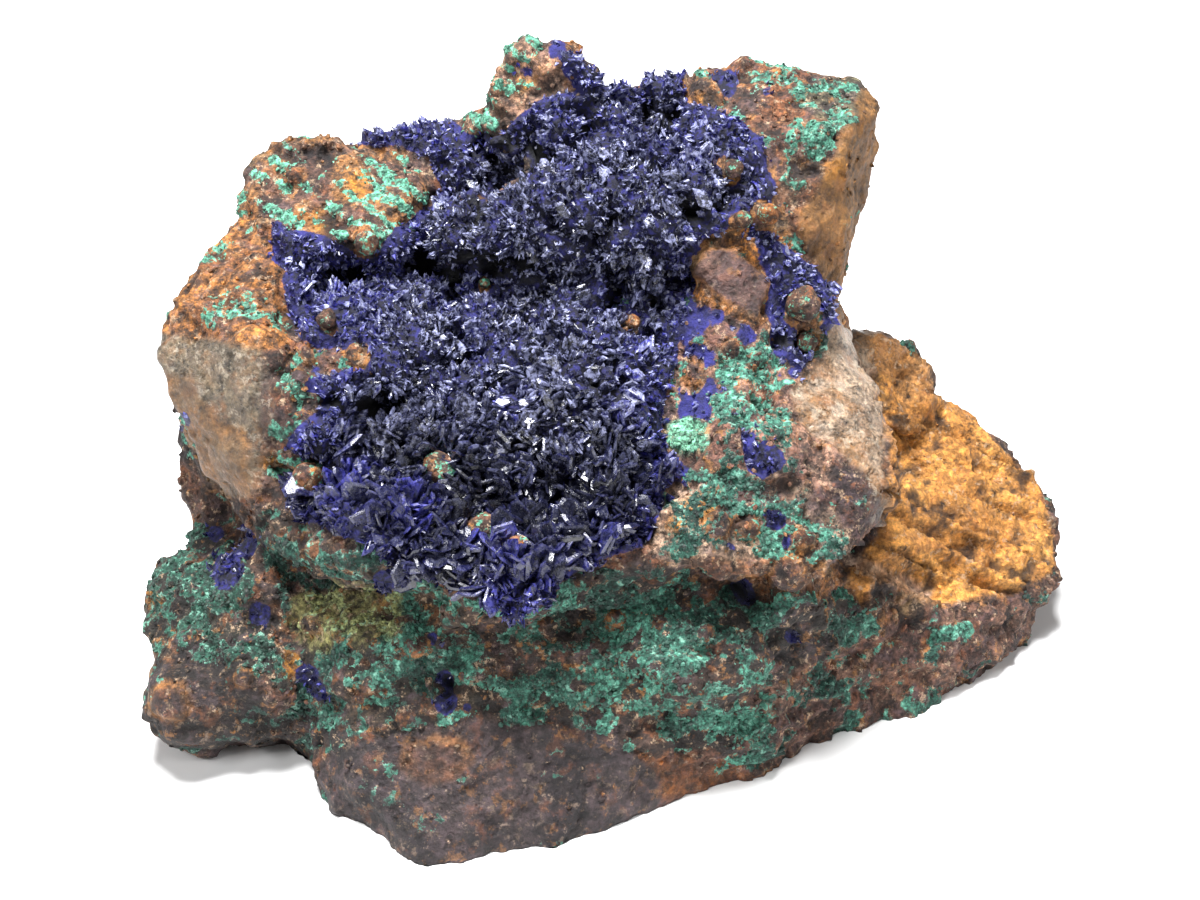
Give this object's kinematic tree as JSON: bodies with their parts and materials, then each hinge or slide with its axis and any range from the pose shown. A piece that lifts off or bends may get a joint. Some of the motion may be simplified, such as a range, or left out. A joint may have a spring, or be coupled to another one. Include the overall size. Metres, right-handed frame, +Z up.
{
  "type": "azurite specimen",
  "caption": "Hand-sized mineral specimen: azurite blades crusting the hollow of a broken quartz, limonite and malachite stone that stands on a flat base.",
  "frame": {"origin": "on the ground, under the middle of the specimen, where the mount base is", "axes": "+Z up, +X along its longest side, -Y towards the side that the azurite faces"},
  "size_m": [0.1202, 0.0882, 0.0738],
  "materials": {
    "matrix_stone": "rough, broken, unpolished",
    "azurite_crust": "glassy crystal faces"
  },
  "bodies": {
    "root": {"matrix_stone": "matrix_stone", "azurite_crust": "azurite_crust"}
  },
  "joints": []
}
